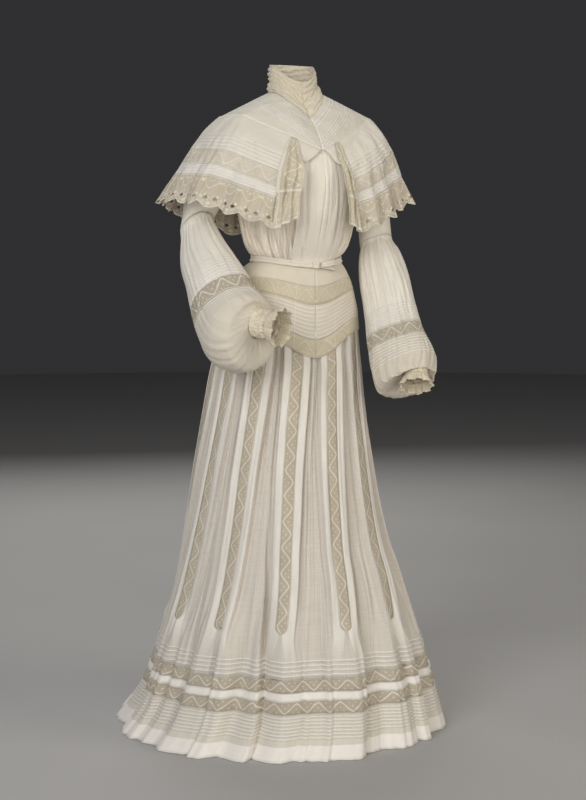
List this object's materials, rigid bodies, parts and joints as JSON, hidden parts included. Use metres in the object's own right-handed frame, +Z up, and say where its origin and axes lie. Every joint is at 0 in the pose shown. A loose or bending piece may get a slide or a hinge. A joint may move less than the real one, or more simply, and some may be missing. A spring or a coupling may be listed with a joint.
{
  "type": "wedding dress",
  "caption": "Worn-out-full ivory muslin and lace dress: high collar, tucked yoke, deep cape collar, bishop sleeves, ribbon belt, pointed basque and long flared skirt",
  "frame": {"origin": "on the body's axis at the level of the shoulder ends, where the wearer carries the dress", "axes": "+Z up, -Y the wearer's front, +X the wearer's left"},
  "size_m": [0.725, 0.7569, 1.426],
  "materials": {
    "muslin": "matte sheer cotton",
    "muslin_white": "matte tucked cotton",
    "lace": "matte cotton lace",
    "ribbon": "soft sheen"
  },
  "bodies": {
    "root": {"bodice_back": "muslin", "basque_tucks": "muslin", "basque_top": "muslin", "skirt_gore_front": "muslin", "skirt_gore_left": "muslin", "skirt_gore_back": "muslin", "skirt_gore_right": "muslin", "bodice_front_right": "muslin", "yoke_right": "muslin", "collar_right": "muslin", "bertha_cloth_right": "muslin", "upper_sleeve_right": "muslin", "lower_sleeve_right": "muslin", "sleeve_puff_right": "muslin", "bodice_front_left": "muslin", "yoke_left": "muslin", "collar_left": "muslin", "bertha_cloth_left": "muslin", "upper_sleeve_left": "muslin", "lower_sleeve_left": "muslin", "sleeve_puff_left": "muslin", "vest_front": "muslin_white", "hem_band": "muslin_white", "hem_flounce": "muslin_white", "bertha_band_right": "muslin_white", "cascade_right": "muslin_white", "bertha_band_left": "muslin_white", "cascade_left": "muslin_white", "skirt_lace_01": "lace", "skirt_lace_02": "lace", "skirt_lace_03": "lace", "skirt_lace_04": "lace", "skirt_lace_05": "lace", "skirt_lace_06": "lace", "skirt_lace_07": "lace", "skirt_lace_08": "lace", "skirt_lace_09": "lace", "skirt_lace_10": "lace", "skirt_lace_11": "lace", "skirt_lace_12": "lace", "hem_lace_upper": "lace", "hem_lace_lower": "lace", "basque_lace_lower": "lace", "basque_lace_upper": "lace", "bertha_lace_right": "lace", "bertha_edging_right": "lace", "sleeve_lace_right": "lace", "cuff_right": "lace", "cuff_frill_right": "lace", "bertha_lace_left": "lace", "bertha_edging_left": "lace", "sleeve_lace_left": "lace", "cuff_left": "lace", "cuff_frill_left": "lace", "belt": "ribbon", "bow_knot": "ribbon", "bow_loop": "ribbon", "bow_end": "ribbon"}
  },
  "joints": []
}
